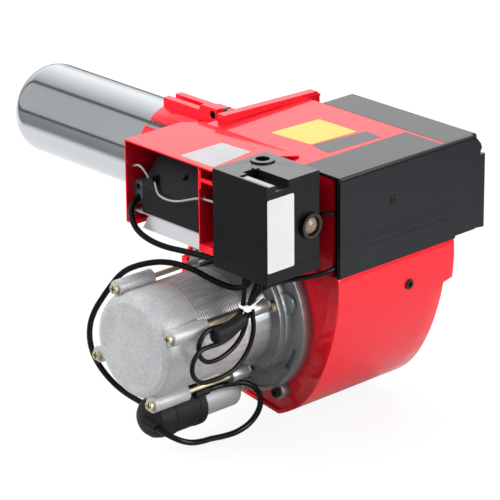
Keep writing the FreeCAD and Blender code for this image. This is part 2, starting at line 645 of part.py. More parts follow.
# Black covers and the air side
def rear_cover():
    """Shell over the rear chamber: top, and a wide rear face with seam, ridges and a wing."""
    y0, y1 = near_y, far_y - 0.5 - web_t - gap
    x0, x1 = body_x1 + gap, rear_x
    low = floor_z + gap
    face = prism([(x1 - 4, y0, low), (x1 - 4, y0, top_z), (x1 - 4, 135.6, top_z), (x1 - 4, 141, 58),
                  (x1 - 4, 146.5, 52), (x1 - 4, 146.5, 39.5), (x1 - 4, cover_y1, 39.5),
                  (x1 - 4, cover_y1, -42), (x1 - 4, 110, -37), (x1 - 4, 110, low)], (1, 0, 0), 4)
    s = fuse(box(x0, x1, y0, y1, top_z - 2, top_z), face)
    s = soften(s, 2, lambda k: along(k, V(0, 1, 0)) and k.BoundBox.XMin > x1 - 0.1
               and k.BoundBox.ZMax > top_z - 0.1)
    s = s.cut(box(x1 - 1.2, x1 + 1, y0 - 1, 138, top_z - 4.4, top_z - 3.2))
    s = s.fuse(box(x1 - 5, x1 - 3, y0, y0 + 1.2, low, top_z - 1))
    for z in (-6, -11, -19):
        s = s.fuse(box(x1 - 1, x1 + 0.5, y0 + 2, 104, z - 0.6, z + 0.6))
    s = s.cut([cyl_x(cover_y, cover_z, 5.5, x1 - 2, x1 + 1), cyl_x(cover_y, cover_z, 3.2, x1 - 5, x1 + 1)])
    return s.fuse(cyl_x(cover_y1 - 8, 47, 4.2, x1 - 4, x1 - 1)).removeSplitter()


def cover_screw():
    """Cross-recess screw of the rear cover."""
    y, z, x = cover_y, cover_z, rear_x
    return cut(fuse(cyl_x(y, z, 5, x - 2, x - 0.4), cyl_x(y, z, 2.5, x - 16, x - 1)),
               box(x - 1.2, x, y - 3.4, y + 3.4, z - 0.6, z + 0.6),
               box(x - 1.2, x, y - 0.6, y + 0.6, z - 3.4, z + 3.4))


def cover_pillar():
    """Post inside the rear chamber that takes the cover's screw."""
    y, z = cover_y, cover_z
    post = cut(cyl_x(y, z, 6, body_x1 - 30, rear_x - 4 - gap), cyl_x(y, z, 2.6, rear_x - 20, rear_x))
    foot = box(body_x1 - 34, body_x1 - 26, y - 6, split_y, z - 6, z + 6)
    return fuse(post, foot)


def air_box():
    """Black air box along the far side, open at its front end and towards the fan's inlet."""
    x1 = rear_x - 4 - gap
    s = box(arm_x0, x1, arm_y0, arm_y1, floor_z + gap, top_z)
    s = soften(s, 5, lambda k: along(k, V(1, 0, 0)) and k.BoundBox.YMin > arm_y1 - 0.1 and k.BoundBox.ZMin > 0)
    inner = box(arm_x0 - 1, x1 - shell, arm_y0 + shell, arm_y1 - shell, floor_z + gap + shell, top_z - shell)
    port = box(port_x0, port_x1, arm_y0 - 1, arm_y0 + shell + 1, port_z0, port_z1)
    s = s.cut([inner, port, cyl_y(flap_x, flap_z, flap_pin + 0.05, arm_y0 - 1, arm_y1 + 1)])
    scale = ring_y(flap_x, flap_z, 24, 20, arm_y1 - 1, arm_y1 + 2)
    half = box(flap_x, flap_x + 30, arm_y1 - 3, arm_y1 + 4, flap_z - 30, flap_z + 30)
    return s.fuse(scale.common(half)).removeSplitter()


def air_flap():
    """Flap on a cross pin with its setting lever outside the box."""
    y0, y1 = arm_y0 + shell + 0.5, arm_y1 - shell - 0.5
    s = fuse(box(flap_x - flap_t / 2, flap_x + flap_t / 2, y0, y1, flap_z - flap_half, flap_z + flap_half),
             cyl_y(flap_x, flap_z, flap_pin, arm_y0 + 0.2, arm_y1 + 7),
             cyl_y(flap_x, flap_z, 9, arm_y1 + 3, arm_y1 + 7),
             box(flap_x - 3, flap_x + 3, arm_y1 + 3.5, arm_y1 + 6.5, flap_z, flap_z + 26))
    return s


# Ignition side
def cowl():
    """Folded red sheet over the transformer: left, right and back walls under one top."""
    y0, y1, yb = ctl_y0, ctl_y1 + 4, near_y
    t = sheet
    top = box(cowl_x0, cowl_x2, y0, y1, cowl_z1 - t, cowl_z1)
    slope = prism([(cowl_x0, y1, cowl_z1), (cowl_x0, y1, cowl_z1 - t), (cowl_x0, -41, top_z + 0.2),
                   (cowl_x0, -41, top_z + 0.2 + t)], (1, 0, 0), cowl_x2 - cowl_x0 + 14)
    left = prism([(cowl_x0, y0, cowl_z0), (cowl_x0, y0, cowl_z1 - t / 2), (cowl_x0, y1, cowl_z1 - t / 2),
                  (cowl_x0, yb, cowl_z1 - 4), (cowl_x0, yb, cowl_z0)], (1, 0, 0), t)
    right = prism([(cowl_x1 - t, y0, cowl_z0), (cowl_x1 - t, y0, cowl_z1 - t / 2),
                   (cowl_x1 - t, y1, cowl_z1 - t / 2), (cowl_x1 - t, yb, cowl_z1 - 4),
                   (cowl_x1 - t, yb, cowl_z0)], (1, 0, 0), t)
    back = box(cowl_x0, cowl_x1, yb - t, yb, cowl_z0, cowl_z1 - 5)
    lip = box(cowl_x0, cowl_x0 + 13, y0, yb, cowl_z0, cowl_z0 + t)
    s = fuse(top, slope, left, right, back, lip)
    for x in (cowl_x0 + 22, cowl_x1 - 22):
        s = s.cut(cyl_y(x, cowl_z0 + 24, 2.4, yb - 5, yb + 5))
    return s.cut([cyl_x(-143, lead_z, 2.6, cowl_x1 - 3, cowl_x1 + 1),
                  cyl_x(-144, -24, 4.4, cowl_x1 - 3, cowl_x1 + 1)])


def cowl_tie():
    """Red strap and foot between the cowl's right wall and the control box."""
    g = gap
    return box(cowl_x1 + g, ctl_x0 - g, ctl_y0, ctl_y0 + 2, cowl_z1 - 16, cowl_z1 - 12).fuse(
        box(cowl_x1 + g, cowl_x1 + g + 2, ctl_y0, ctl_y0 + 20, cowl_z1 - 24, cowl_z1 - 4))


def cowl_foot():
    return box(cowl_x1 + gap, ctl_x0 - gap, ctl_y0, ctl_y0 + 30, cowl_z0 - 1, cowl_z0 + 7)


def cowl_screws():
    yb = near_y
    out = []
    for x in (cowl_x0 + 22, cowl_x1 - 22):
        out.append(fuse(cyl_y(x, cowl_z0 + 24, 4, yb - sheet - 3, yb - sheet),
                        cyl_y(x, cowl_z0 + 24, 2.2, yb - sheet - 1, near_y + 2)))
    return Part.makeCompound(out)


def transformer():
    """Potted ignition transformer: upright front, sloped shoulder, flat top."""
    x0, x1 = cowl_x0 + 17, cowl_x1 - 12
    s = prism([(x0, -140, -6), (x0, -140, 24), (x0, -112, 58), (x0, -68, 58), (x0, -68, -6)],
              (1, 0, 0), x1 - x0)
    s = soften(s, 2.5, lambda k: along(k, V(1, 0, 0)))
    s = s.fuse(cyl_y(post_x, post_z, post_r, -141, -122))
    s = s.fuse(cyl((post_x + 36, -124.5, 41), (0, -0.77, 0.635), 3, 5))
    return s.cut([ht_socket(k, gap) for k in ht_x]).removeSplitter()


def transformer_base():
    """Mounting plate under the transformer, its front lip folded down and out."""
    x0, x1 = cowl_x0 + sheet, cowl_x1 - sheet
    flat = box(x0, x1, -138, near_y - sheet, -8, -6)
    lip = prism([(x0 + 22, -138, -8), (x0 + 22, -137, -6.5), (x0 + 22, -144.5, -19), (x0 + 22, -146, -19)],
                (1, 0, 0), x1 - x0 - 24)
    return fuse(flat, lip)


def terminal_block():
    x0 = cowl_x0 + sheet
    s = soften(box(x0, x0 + 14, -138, -108, 2, 27), 1.5, lambda k: along(k, V(0, 1, 0)))
    return s.cut([cyl((x0 + 7, -139, z), (0, 1, 0), 3.2, 10) for z in (9, 20)])


def ht_socket(x, more):
    """One high-tension outlet in the transformer's back."""
    return fuse(cyl_y(x, 30, 6.6 + more, -74, near_y - sheet - 1.5 + more),
                cyl_y(x, 30, 4.0, -76 - more, -70))


def ht_sockets():
    return Part.makeCompound([ht_socket(x, 0).removeSplitter() for x in ht_x])


# Control side
def control_box():
    """Flame-safeguard relay: black box with cable entry, open wiring channel, button seat."""
    s = box(ctl_x0, ctl_x1, ctl_y0, ctl_y1, ctl_z0 + 14, ctl_z1)
    inner = box(ctl_x0 + 4, ctl_x1 - 6, ctl_y0 + 4, ctl_y1 - 3, ctl_z0 + 13, ctl_z1 - 12)
    cuts = [inner, cyl((gland_x, gland_y, ctl_z1 - 13), (0, 0, 1), gland_r, 14),
            box(ctl_x0 + 30, ctl_x1 + 1, ctl_y0 + 13.5, ctl_y0 + 30.5, ctl_z1 - 8, ctl_z1 + 1),
            box(ctl_x0 + 36, ctl_x1 + 1, ctl_y0 + 3.5, ctl_y0 + 14, ctl_z1 - 1.8, ctl_z1 + 1),
            cyl_x(btn_y, btn_z, btn_ring, ctl_x1 - 2, ctl_x1 + 1),
            cyl_x(btn_y, btn_z, btn_r + 0.08, ctl_x1 - 10, ctl_x1 + 1)]
    s = s.cut(cuts)
    latch = box(ctl_x0 + 28, ctl_x0 + 34, ctl_y0 + 27, ctl_y0 + 33, ctl_z1 - 2, ctl_z1 + 1)
    return s.fuse(latch).removeSplitter()


def control_base():
    """Plug-in base under the relay, its wiring channel open below, and its foot on the body."""
    s = fuse(box(ctl_x0, ctl_x1, ctl_y0, ctl_y1, ctl_z0, ctl_z0 + 14),
             box(ctl_x0 + 4, ctl_x0 + 44, ctl_y1, near_y, ctl_z0, ctl_z1 - 20))
    return s.cut(box(ctl_x0 + 3, ctl_x1 - 3, ctl_y0 + 3, ctl_y1 - 3, ctl_z0 + 3, ctl_z0 + 15))


def gland():
    z = ctl_z1
    return cut(fuse(cyl((gland_x, gland_y, z - 12), (0, 0, 1), gland_r - 0.2, 13),
                    cyl((gland_x, gland_y, z + 0.2), (0, 0, 1), gland_r + 2.2, 1.4)),
               cyl((gland_x, gland_y, z - 13), (0, 0, 1), gland_r - 3, 16))


def reset_ring():
    return cut(fuse(cyl_x(btn_y, btn_z, btn_ring - 0.05, ctl_x1 - 2, ctl_x1 + 5)),
               cyl_x(btn_y, btn_z, btn_r + 0.5, ctl_x1 - 3, ctl_x1 + 6))


def reset_button():
    """Clear domed push button with a straight stem in the relay's guide."""
    x = ctl_x1
    dome = Part.makeSphere(11, V(x - 5, btn_y, btn_z)).common(cyl_x(btn_y, btn_z, btn_r, x - 2, x + 8))
    return fuse(cyl_x(btn_y, btn_z, btn_r, x - 6.5, x - 1.5), dome)


# Capacitor
def capacitor_can():
    """Drawn can with a rounded rim, and the stud in its base that holds it."""
    n = can_y1 - boot_y0 - 44
    can = spin([(0, 0), (can_r - 1.5, 0), (can_r, 1.5), (can_r, n - 4), (can_r - 1.2, n - 1.2),
                (can_r - 4, n), (0, n)], (capx, boot_y0 + 44, capz), (0, 1, 0))
    return fuse(can, cyl_y(capx, capz, 4, can_y1 - 1, near_y - plate_t))


def capacitor_boot():
    """Rubber boot over the capacitor's terminals: closed rounded end, two ribs, cable spouts."""
    r, n = boot_r, boot_y1 - boot_y0
    prof = [(0, 0), (9, 0.6), (16, 3.5), (20.5, 9), (r, 16), (r, 26), (r + 0.8, 27), (r + 0.8, 30),
            (r, 31), (r, n - 9), (r + 0.8, n - 8), (r + 0.8, n), (can_r + gap, n), (can_r + gap, 44), (0, 44)]
    s = spin(prof, (capx, boot_y0, capz), (0, 1, 0))
    left = cyl((capx - r + 4, boot_y0 + 23, capz + 4), (-1, 0, 0), 5.2, 8)
    right = cyl_y(capx + 16, capz + 17.5, 4.6, boot_y1 - 13, boot_y1 + 5)
    right = right.cut(cyl_y(capx, capz, can_r + gap, boot_y1 - 15, boot_y1 + 11))
    knee = Part.makeSphere(5.2, V(capx + 3, boot_y0 - 1, capz + 2))
    spout = cyl((capx + 3, boot_y0 - 1, capz + 2), (0.93, 0.2, -0.3), 5.2, 15)
    return s.fuse([left, right, knee, spout]).removeSplitter()


def capacitor_nut():
    """Nut on the capacitor's stud, drawn up against the flange plate's boss."""
    y = near_y - plate_t - 8 - gap
    hexa = prism([(capx + 7 * math.cos(math.radians(60 * k)), y - 5,
                   capz + 7 * math.sin(math.radians(60 * k))) for k in range(6)], (0, 1, 0), 5)
    return cut(hexa, cyl_y(capx, capz, 4 + 0.05, y - 6, y + 1))


# Cables
motor_cord = [(250, -112, -30), (249, -113, -51), (232, -119, -63), (211, -134, -54), (197, -150, -40),
              (182, -171, -31), (167, -191, -33), (150, -201, -43), (137, -208, -62), (115, -215, -97),
              (107, -213, -127), (106, -204, -154), (117, -194, -176), (137, -187, -189), (160.5, -186, -191)]
cap_cord = [(203.99, -206.99, -197.51), (222.64, -202.98, -203.53), (232, -188, -211.5),
            (231, -169, -216), (224, -150, -221), (219, -129, -227), (218, -108, -229),
            (219, -89, -223.5), (222, -78, -208), (221.5, -80, -190), (217, -93, -177),
            (209.5, -109, -176.5), (203, -121, -177.5), (203, -136, -177.5)]
loop_cord = [(256, -130, -30), (257, -132, -46), (259.5, -135, -59), (259.5, -138, -73),
             (258.5, -151, -81), (258, -168, -81), (258, -185.2, -80.5), (258, -195.5, -90.8),
             (258, -195.5, -105.3), (258, -185.2, -115.5), (258, -170, -116.5), (258, -155, -113),
             (259, -142, -104), (259.5, -133.5, -91), (259.5, -130, -75), (260.5, -126, -60),
             (262, -119, -46), (263, -116, -30)]
hank_cord = [(281, -130, -30), (280, -130, -45), (271, -133, -56), (265.5, -135.5, -69),
             (265.5, -142, -82), (265, -154, -91), (265, -170, -95.6), (265, -185, -95.2),
             (265, -200, -95), (265, -210.7, -105.7), (265, -210.7, -120.7), (265, -200, -131.3),
             (265, -185, -133), (265, -170, -133), (265, -154, -130), (265, -140, -120),
             (265, -130.5, -107), (265.5, -127, -91), (265.5, -129.5, -75), (265.5, -129, -60),
             (271, -120, -49), (281, -106, -43), (292, -91, -41), (302, -76, -39), (309, -61, -36),
             (309.5, -47, -31), (310, -33, -20), (303, -20, -9), (290, -9, 0), (274, -9, 0)]
feed_cord = [(103.5, -129, 9), (103.5, -145, 9), (106, -158, 2.5), (114, -165, -8), (128, -166, -16),
             (144, -162, -22), (161, -156, -25), (178, -149, -26), (195, -145, -26),
             (212, -144, -24), (229, -144, -24)]
cell_cord = [(290, -75, 25), (296, -67, 25), (306, -61, 24.5), (309.5, -50, 22), (309, -41, 11),
             (303, -35, 0), (294, -36, -10), (282, -38, -14)]
lead_a = [(96.5, -139, 41), (103, -139.5, 44.5), (111, -140, 44.5), (117, -139.5, 40), (121.8, -138.8, 34)]
lead_b = [(130.2, -138.8, 32), (135, -141, 28), (143, -146, 24), (158, -148, 22.5), (175, -148, 25),
          (190, -147, 30.5), (202, -144.5, 35), (214, -143, 36.5), (229, -143, 36.5)]


def cord_tie():
    """Nylon tie: band round the bundle, its head and a straight tail."""
    x, y, z = 262.5, -132.5, -66.5
    band = cyl((x, y, z - 1.5), (0, 0, 1), 8.8, 3).cut(cyl((x, y, z - 3), (0, 0, 1), 7.6, 6))
    head = box(x + 4, x + 10, y - 9.5, y - 4.5, z - 2.5, z + 2.5)
    tail = prism([(x + 7, y - 5, z - 1), (x + 7, y - 5, z + 1), (x + 12, y + 9, z + 12),
                  (x + 12, y + 9, z + 10)], (1, 0, 0), 1.2)
    return fuse(band, head, tail)


def build():
    save("blast_tube", blast_tube())
    save("diffuser_disc", diffuser_disc())
    save("spray_nozzle", spray_nozzle())
    save("nozzle_holder", nozzle_holder())
    save("head_spider", head_spider())
    save("electrode_near", electrode(-1))
    save("electrode_far", electrode(1))
    save("collar", collar())
    save("clamp_screw", clamp_screw())
    save("collar_screws", collar_screws())
    save("body_casting", body())
    save("wall_screw", wall_screw())
    save("motor_cap", motor_cap())
    save("stator", stator())
    save("motor_shield", shield())
    save("tie_rods", tie_rods())
    save("flange_plate", flange_plate())
    save("plate_bolts", plate_bolts())
    save("motor_bolts", motor_bolts())
    save("bearing_rear", bearing(cap_y0 + 6))
    save("bearing_front", bearing(shield_y1 - 3 - bearing_w))
    save("rotor_shaft", rotor_shaft())
    save("fan_wheel", fan_wheel())
    save("shaft_coupling", coupling())
    save("pump_shaft", pump_shaft())
    save("oil_pump", pump())
    save("oil_nipples", oil_nipples())
    save("solenoid_valve", solenoid())
    save("oil_pipe", oil_pipe())
    save("oil_elbow", oil_elbow())
    save("photocell", photocell())
    save("rear_cover", rear_cover())
    save("cover_screw", cover_screw())
    save("cover_pillar", cover_pillar())
    save("air_box", air_box())
    save("air_flap", air_flap())
    save("cowl", cowl())
    save("cowl_tie", cowl_tie())
    save("cowl_foot", cowl_foot())
    save("cowl_screws", cowl_screws())
    save("transformer", transformer())
    save("transformer_base", transformer_base())
    save("terminal_block", terminal_block())
    save("ht_sockets", ht_sockets())
    save("control_box", control_box())
    save("control_base", control_base())
    save("cable_gland", gland())
    save("reset_ring", reset_ring())
    save("reset_button", reset_button())
    save("capacitor_can", capacitor_can())
    save("capacitor_boot", capacitor_boot())
    save("capacitor_nut", capacitor_nut())
    save("cord_tie", cord_tie())
    save("motor_cord", cord("motor_cord", motor_cord, cord_r))
    save("capacitor_cord", cord("capacitor_cord", cap_cord, cord_r))
    save("hank_cord", cord("hank_cord", hank_cord, hank_r))
    save("loop_cord", cord("loop_cord", loop_cord, hank_r))
    save("feed_cord", cord("feed_cord", feed_cord, cord_r))
    save("cell_cord", cord("cell_cord", cell_cord, cell_r))
    save("post_lead", Part.makeCompound([cord("lead_a", lead_a, lead_r), cord("lead_b", lead_b, lead_r)]))


build()
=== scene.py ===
import math

import bpy
import numpy as np
from mathutils import Matrix, Vector


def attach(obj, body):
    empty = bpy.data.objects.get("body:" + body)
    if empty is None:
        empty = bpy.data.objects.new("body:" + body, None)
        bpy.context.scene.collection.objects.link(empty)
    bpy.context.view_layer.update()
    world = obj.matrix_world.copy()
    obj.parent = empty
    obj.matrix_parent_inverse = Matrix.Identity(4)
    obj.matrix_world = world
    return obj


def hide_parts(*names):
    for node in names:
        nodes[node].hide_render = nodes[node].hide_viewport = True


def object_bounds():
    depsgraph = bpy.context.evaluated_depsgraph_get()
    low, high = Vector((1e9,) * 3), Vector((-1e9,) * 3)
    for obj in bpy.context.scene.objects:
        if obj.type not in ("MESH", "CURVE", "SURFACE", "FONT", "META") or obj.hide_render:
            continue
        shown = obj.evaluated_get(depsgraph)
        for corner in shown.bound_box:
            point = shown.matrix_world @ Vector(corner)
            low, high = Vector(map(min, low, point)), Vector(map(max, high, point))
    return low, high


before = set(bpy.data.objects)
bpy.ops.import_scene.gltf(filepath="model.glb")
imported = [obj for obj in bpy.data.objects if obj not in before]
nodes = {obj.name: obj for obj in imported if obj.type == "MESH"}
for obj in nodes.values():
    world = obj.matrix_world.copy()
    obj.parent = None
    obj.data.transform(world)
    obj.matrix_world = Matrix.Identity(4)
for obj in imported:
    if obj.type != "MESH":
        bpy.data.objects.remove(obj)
cad_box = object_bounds()

# Blast tube: a polished stainless cylinder with a rolled rim at the flame end. It is rolled
# from sheet, so fine scratches run round it, and the heat has left it slightly cloudy.


class Wire:
    """A shader value: arithmetic on it in Python adds the Math nodes that do the same."""

    def __init__(self, tree, socket):
        self.tree, self.socket = tree, socket

    def math(self, operation, *others, turned=False, clamp=False):
        node = self.tree.nodes.new("ShaderNodeMath")
        node.operation, node.use_clamp = operation, clamp
        terms = [self, *others][::-1] if turned else [self, *others]
        for slot, term in zip(node.inputs, terms):
            join(self.tree, slot, term)
        return Wire(self.tree, node.outputs[0])

    def __add__(self, other):
        return self.math("ADD", other)

    def __sub__(self, other):
        return self.math("SUBTRACT", other)

    def __rsub__(self, other):
        return self.math("SUBTRACT", other, turned=True)

    def __mul__(self, other):
        return self.math("MULTIPLY", other)

    def __truediv__(self, other):
        return self.math("DIVIDE", other)

    __radd__, __rmul__ = __add__, __mul__

    def clip(self):
        return self.math("ADD", 0.0, clamp=True)

    def rise(self, low, high):
        """0 below low, 1 above high and straight between them."""
        return ((self - low) / (high - low)).clip()


def add_node(tree, kind, settings=None, terms=None, out=0):
    """Any node: its settings first, then the values or links of its sockets."""
    node = tree.nodes.new(kind)
    for name, value in (settings or {}).items():
        setattr(node, name, value)
    for name, term in (terms or {}).items():
        join(tree, node.inputs[name], term)
    return Wire(tree, node.outputs[out])


def join(tree, slot, term):
    """Links a wire to a socket, or sets the socket to a number, vector or colour."""
    if isinstance(term, Wire):
        tree.links.new(term.socket, slot)
    elif hasattr(slot.default_value, "__len__") and len(slot.default_value) == 4:
        slot.default_value = (*term, 1.0)[:4]
    else:
        slot.default_value = term


class Finish:
    """One material: a Principled shader with its fixed values, and what varies over it."""

    def __init__(self, name, colour, roughness, **fixed):
        self.material = bpy.data.materials.new(name)
        self.material.use_nodes = True
        self.tree = self.material.node_tree
        self.shader = self.tree.nodes["Principled BSDF"]
        self.set(Base_Color=colour, Roughness=roughness, **fixed)
        self.place = self.add("ShaderNodeTexCoord", out="Object")

    def set(self, **terms):
        for name, term in terms.items():
            join(self.tree, self.shader.inputs[name.replace("_", " ")], term)

    def add(self, kind, settings=None, terms=None, out=0):
        return add_node(self.tree, kind, settings, terms, out)

    def axis(self, letter):
        return self.add("ShaderNodeSeparateXYZ", None, {"Vector": self.place}, letter)

    def noise(self, per_metre, detail=3.0, rough=0.55, stretch=(1, 1, 1)):
        """Cloudy values from 0 to 1 with so many clouds to a metre, stretched per axis."""
        spot = self.add("ShaderNodeMapping", None, {"Vector": self.place, "Scale": stretch})
        return self.add("ShaderNodeTexNoise", None, {"Vector": spot, "Scale": per_metre,
                                                     "Detail": detail, "Roughness": rough})

    def tint(self, mask, colour_0, colour_1):
        """Colour that goes from the first to the second as the mask goes from 0 to 1."""
        return self.add("ShaderNodeMix", {"data_type": "RGBA"},
                        {0: mask, 6: colour_0, 7: colour_1}, out=2)

    def relief(self, height, deep, strength=1.0):
        """Bumps of the given depth in metres where height goes from 0 to 1."""
        self.set(Normal=self.add("ShaderNodeBump", None, {"Height": height, "Distance": deep,
                                                          "Strength": strength}))


def rgb(*parts):
    """Screen colour of 0 to 255 as the linear colour that a shader takes."""
    c = np.array(parts) / 255
    return tuple(np.where(c < 0.04045, c / 12.92, ((c + 0.055) / 1.055) ** 2.4))


def dress(names, finish):
    """Gives CAD nodes their material."""
    for name in names if isinstance(names, (list, tuple)) else [names]:
        mesh = nodes[name].data
        mesh.materials.clear()
        mesh.materials.append(finish.material)


stainless = Finish("polished_stainless", rgb(205, 205, 208), 0.16, Metallic=1.0)
hairline = stainless.noise(60, 4, 0.6, (60, 1, 1))
stainless.set(Roughness=0.07 + hairline * 0.07 + stainless.noise(14, 3) * 0.05,
              Base_Color=stainless.tint(stainless.noise(9, 4),
                                        rgb(196, 201, 206), rgb(212, 216, 220)))
stainless.relief(hairline, 0.00002, 0.3)
dress("blast_tube", stainless)

# Combustion head: the diffuser disc, its spider, the spray nozzle on its holder and the two
# electrodes in glazed ceramic. They sit inside the tube and neck, dulled by heat and oil. The
# pump's nipples and elbow are turned from the same brass as the nozzle.
scorched = Finish("scorched_steel", rgb(92, 86, 80), 0.45, Metallic=1.0)
scorched.set(Base_Color=scorched.tint(scorched.noise(60, 5), rgb(70, 62, 58), rgb(120, 112, 100)),
             Roughness=0.35 + scorched.noise(200, 3) * 0.25)
dress(["diffuser_disc", "head_spider"], scorched)
brass = Finish("turned_brass", rgb(200, 165, 95), 0.28, Metallic=1.0)
brass.set(Roughness=0.2 + brass.noise(300, 3) * 0.2)
dress(["spray_nozzle", "oil_nipples", "oil_elbow"], brass)
glaze = Finish("white_glaze", rgb(228, 224, 215), 0.25, Coat_Weight=0.6, Coat_Roughness=0.1)
glaze.set(Base_Color=glaze.tint(glaze.noise(50, 3), rgb(222, 216, 204), rgb(236, 234, 228)))
dress(["electrode_near", "electrode_far"], glaze)

# Red castings: the split collar and the housing with its scroll, die-cast in aluminium and
# stove-enamelled in a hard gloss red that shows a faint orange peel.
def red_gloss(name, colour_0, colour_1, peel):
    """Clear-coated red paint, clouded between two reds, with so many dimples to a metre."""
    paint = Finish(name, colour_1, 0.35, Coat_Weight=0.8, Coat_Roughness=0.05, Coat_IOR=1.45,
                   Specular_IOR_Level=0.15)
    paint.set(Base_Color=paint.tint(paint.noise(12, 3), colour_0, colour_1),
              Roughness=0.34 + paint.noise(350, 2) * 0.12)
    paint.relief(paint.noise(peel, 2, 0.4), 0.00010, 0.3)
    return paint


def ease(names, width, angle=35.0, segments=2):
    """Merges a CAD node's loose triangles and rounds its sharp edges by the width in metres."""
    for name in names:
        weld = nodes[name].modifiers.new("weld", "WELD")
        weld.merge_threshold = 1e-6
        round_off = nodes[name].modifiers.new("edges", "BEVEL")
        round_off.width, round_off.segments = width, segments
        round_off.limit_method, round_off.angle_limit = "ANGLE", math.radians(angle)
        round_off.harden_normals = True


casting_red = red_gloss("enamelled_casting", rgb(212, 8, 28), rgb(224, 13, 38), 420)
dress(["body_casting", "collar"], casting_red)
ease(["body_casting", "collar"], 0.0007)

# Fixings: most screws and nuts, the motor's bolts and the nozzle holder are steel in yellow
# passivated zinc. The clamp screw, the cover's and the wall's screws and the flange plate's
# bolts are blackened steel.
def zinc_plate(name):
    """Yellow zinc, and its cloudy colour, so that the painted shade of dark slots can be laid over
    it.
    """
    plate = Finish(name, rgb(196, 186, 150), 0.32, Metallic=0.7)
    cloudy = plate.tint(plate.noise(120, 4), rgb(196, 180, 124), rgb(226, 222, 200))
    plate.set(Base_Color=cloudy, Roughness=0.25 + plate.noise(400, 3) * 0.2)
    return plate, cloudy


zinc, _ = zinc_plate("yellow_zinc_plate")
dress(["collar_screws", "nozzle_holder", "cowl_screws", "capacitor_nut", "motor_bolts"], zinc)
black_oxide = Finish("black_oxide_steel", rgb(9, 9, 10), 0.35, Metallic=0.25)
black_oxide.set(Roughness=0.3 + black_oxide.noise(500, 3) * 0.2)
dress(["clamp_screw", "wall_screw", "plate_bolts", "cover_screw"], black_oxide)

# Motor: a cast end cap and front shield clamp the laminated stator with four long plated
# rods. The cap and the round flange plate are bare aluminium with a fine sand-cast skin.
cast = Finish("bare_casting", rgb(190, 191, 193), 0.42, Metallic=0.3)
grain = cast.noise(650, 4, 0.65)
cloud = cast.noise(35, 4)
cast.set(Base_Color=cast.tint((grain * 0.8 + cloud * 0.3).rise(0.35, 0.75),
                              rgb(143, 144, 147), rgb(199, 200, 202)),
         Roughness=0.36 + grain * 0.2)
cast.relief(grain, 0.0002, 0.4)
dress(["motor_cap", "cover_pillar"], cast)
dull_cast = Finish("machined_casting", rgb(160, 163, 165), 0.32, Metallic=0.75)
dull_cast.set(Base_Color=dull_cast.tint(dull_cast.noise(500, 4, 0.6),
                                        rgb(140, 144, 146), rgb(176, 179, 181)),
              Roughness=0.26 + dull_cast.noise(300, 3) * 0.16)
dull_cast.relief(dull_cast.noise(600, 3, 0.6), 0.0002, 0.5)
dress(["motor_shield", "flange_plate"], dull_cast)
ease(["motor_cap", "motor_shield", "flange_plate"], 0.0008)

plates = Finish("stacked_laminations", rgb(140, 140, 142), 0.4, Metallic=0.6)
motor_x, motor_z = 0.186, -0.110
groove_floor, rib_top = 0.0554, 0.0558  # from the motor's axis
off_axis = [plates.axis("X") - motor_x, plates.axis("Z") - motor_z]
from_axis = (off_axis[0] * off_axis[0] + off_axis[1] * off_axis[1]).math("SQRT")
worn = plates.noise(220, 4, 0.6, (1, 0.15, 1))
rib_colour = plates.tint(worn.rise(0.3, 0.7), rgb(176, 176, 178), rgb(222, 222, 224))
# Where the radius falls below the ribs' tops, the groove floors are painted dark grey: painted
# shade in the recesses between the laminations.
plates.set(Base_Color=plates.tint(from_axis.rise(groove_floor, rib_top),
                                  rgb(74, 74, 76), rib_colour))
plates.relief(worn, 0.0002, 0.5)
dress("stator", plates)

# Tie rods: long zinc-plated screws whose round heads stand on the cap's four bosses. A dark cross
# is painted on each head: painted shade standing for a cross slot, which the heads do not have cut
# in them.
rod_zinc, rod_cloudy = zinc_plate("zinc_plate_painted_slot_shade")
rod_circle, first_turn = 0.06175, -24.5
slot_half, slot_reach, slot_floor_y = 0.0006, 0.0035, -0.2222
side_blur, end_blur = 0.0002, 0.0003
painted_slot_shade = 0.0
for turn in np.radians(first_turn + 90 * np.arange(4)):
    head = ("X", motor_x + rod_circle * np.sin(turn)), ("Z", motor_z + rod_circle * np.cos(turn))
    across, upright = ((rod_zinc.axis(letter) - float(place)).math("ABSOLUTE")
                       for letter, place in head)
    cross = 1 - across.math("MINIMUM", upright).rise(slot_half, slot_half + side_blur)
    within = 1 - across.math("MAXIMUM", upright).rise(slot_reach, slot_reach + end_blur)
    painted_slot_shade = cross * within + painted_slot_shade
painted_slot_shade = painted_slot_shade * (1 - rod_zinc.axis("Y").rise(slot_floor_y, slot_floor_y + end_blur))
# The crosses on the heads are darkened here: painted shade of slots.
rod_zinc.set(Base_Color=rod_zinc.tint(painted_slot_shade, rod_cloudy, rgb(30, 28, 22)))
dress("tie_rods", rod_zinc)

# Turning steel: the rotor's shaft, its two bearings and the pump's shaft are ground bright,
# which leaves fine rings round them. They run inside the motor and the pump.
ground = Finish("ground_steel", rgb(170, 170, 172), 0.25, Metallic=1.0)
ground.set(Roughness=0.2 + ground.noise(300, 3, 0.5, (1, 20, 1)) * 0.15)
dress(["rotor_shaft", "bearing_rear", "bearing_front", "pump_shaft"], ground)

